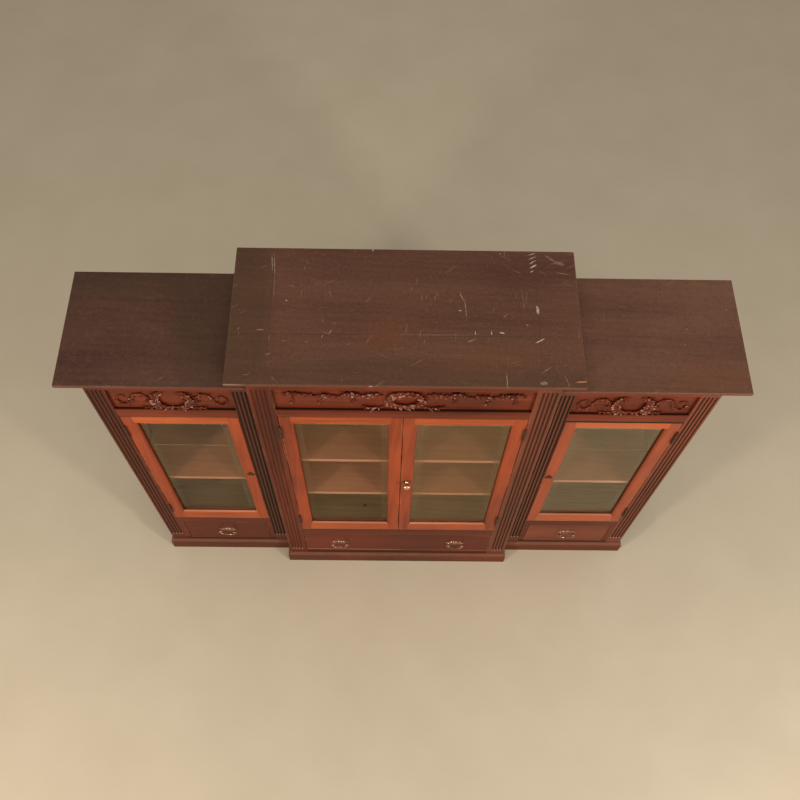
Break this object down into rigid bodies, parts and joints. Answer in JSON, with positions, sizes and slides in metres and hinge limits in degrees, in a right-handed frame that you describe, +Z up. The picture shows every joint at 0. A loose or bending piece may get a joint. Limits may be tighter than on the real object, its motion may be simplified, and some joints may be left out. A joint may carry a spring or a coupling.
{
  "type": "breakfront bookcase",
  "caption": "Wooden breakfront bookcase: a tall, deeper centre between lower wings, fluted pilasters, carved friezes, glazed hinged doors over drawers with bail pulls, on a plinth.",
  "frame": {"origin": "on the floor, in the middle of the box that holds the whole case", "axes": "+X to the right of someone facing the doors, +Y back towards the wall, +Z up; the doors face -Y"},
  "size_m": [2.01, 0.455, 1.663],
  "materials": {
    "top_wood": "dark worn varnish",
    "case_wood": "worn satin varnish",
    "door_wood": "worn satin varnish",
    "board_wood": "oiled",
    "back_wood": "dull",
    "drawer_wood": "worn satin varnish",
    "pane_glass": "polished with a ground bevel",
    "old_brass": "darkened",
    "bright_brass": "rubbed bright",
    "dark_iron": "dark"
  },
  "bodies": {
    "case": {"top_left": "top_wood", "top_centre": "top_wood", "top_right": "top_wood", "side_left": "case_wood", "side_right": "case_wood", "partition_left": "case_wood", "partition_right": "case_wood", "plinth": "case_wood", "pilaster_left_outer": "case_wood", "pilaster_left_inner": "case_wood", "pilaster_centre_left": "case_wood", "pilaster_right_outer": "case_wood", "pilaster_right_inner": "case_wood", "pilaster_centre_right": "case_wood", "back_left": "back_wood", "frieze_left": "case_wood", "drawer_case_left": "case_wood", "shelf_left_lower": "board_wood", "shelf_left_upper": "pane_glass", "back_centre": "back_wood", "frieze_centre": "case_wood", "drawer_case_centre": "case_wood", "shelf_centre_lower": "board_wood", "shelf_centre_upper": "board_wood", "back_right": "back_wood", "frieze_right": "case_wood", "drawer_case_right": "case_wood", "shelf_right_lower": "board_wood", "shelf_right_upper": "pane_glass", "hinge_left_upper": "dark_iron", "hinge_left_lower": "dark_iron", "hinge_centre_left_upper": "dark_iron", "hinge_centre_left_lower": "dark_iron", "hinge_centre_right_upper": "dark_iron", "hinge_centre_right_lower": "dark_iron", "hinge_right_upper": "dark_iron", "hinge_right_lower": "dark_iron"},
    "door_left": {"door_left": "door_wood", "glass_left": "pane_glass", "keyhole_plate_left": "dark_iron"},
    "door_centre_left": {"door_centre_left": "door_wood", "glass_centre_left": "pane_glass"},
    "door_centre_right": {"door_centre_right": "door_wood", "glass_centre_right": "pane_glass", "knob": "bright_brass", "knob_rose": "dark_iron"},
    "door_right": {"door_right": "door_wood", "glass_right": "pane_glass", "keyhole_plate_right": "dark_iron"},
    "drawer_left": {"drawer_left": "drawer_wood", "pull_plate_left": "old_brass"},
    "drawer_centre": {"drawer_centre": "drawer_wood", "pull_plate_centre_left": "old_brass", "pull_plate_centre_right": "old_brass"},
    "drawer_right": {"drawer_right": "drawer_wood", "pull_plate_right": "old_brass"},
    "bail_left": {"bail_left": "old_brass"},
    "bail_centre_left": {"bail_centre_left": "old_brass"},
    "bail_centre_right": {"bail_centre_right": "old_brass"},
    "bail_right": {"bail_right": "old_brass"}
  },
  "joints": [
    {"name": "door_left_hinge", "type": "hinge", "parent": "case", "child": "door_left", "pos_m": [-0.891, -0.127, 0.8], "axis": [0, 0, -1], "range_deg": [0, 170]},
    {"name": "door_centre_left_hinge", "type": "hinge", "parent": "case", "child": "door_centre_left", "pos_m": [-0.3785, -0.182, 0.8], "axis": [0, 0, -1], "range_deg": [0, 170]},
    {"name": "door_centre_right_hinge", "type": "hinge", "parent": "case", "child": "door_centre_right", "pos_m": [0.3785, -0.182, 0.8], "axis": [0, 0, 1], "range_deg": [0, 170]},
    {"name": "door_right_hinge", "type": "hinge", "parent": "case", "child": "door_right", "pos_m": [0.891, -0.127, 0.8], "axis": [0, 0, 1], "range_deg": [0, 170]},
    {"name": "drawer_left_slide", "type": "slide", "parent": "case", "child": "drawer_left", "axis": [0, -1, 0], "range_m": [0, 0.25]},
    {"name": "drawer_centre_slide", "type": "slide", "parent": "case", "child": "drawer_centre", "axis": [0, -1, 0], "range_m": [0, 0.25]},
    {"name": "drawer_right_slide", "type": "slide", "parent": "case", "child": "drawer_right", "axis": [0, -1, 0], "range_m": [0, 0.25]},
    {"name": "bail_left_swing", "type": "hinge", "parent": "drawer_left", "child": "bail_left", "pos_m": [-0.704, -0.1351, 0.202], "axis": [-1, 0, 0], "range_deg": [-15, 100]},
    {"name": "bail_centre_left_swing", "type": "hinge", "parent": "drawer_centre", "child": "bail_centre_left", "pos_m": [-0.237, -0.1901, 0.214], "axis": [-1, 0, 0], "range_deg": [-15, 100]},
    {"name": "bail_centre_right_swing", "type": "hinge", "parent": "drawer_centre", "child": "bail_centre_right", "pos_m": [0.237, -0.1901, 0.214], "axis": [-1, 0, 0], "range_deg": [-15, 100]},
    {"name": "bail_right_swing", "type": "hinge", "parent": "drawer_right", "child": "bail_right", "pos_m": [0.704, -0.1351, 0.202], "axis": [-1, 0, 0], "range_deg": [-15, 100]}
  ]
}
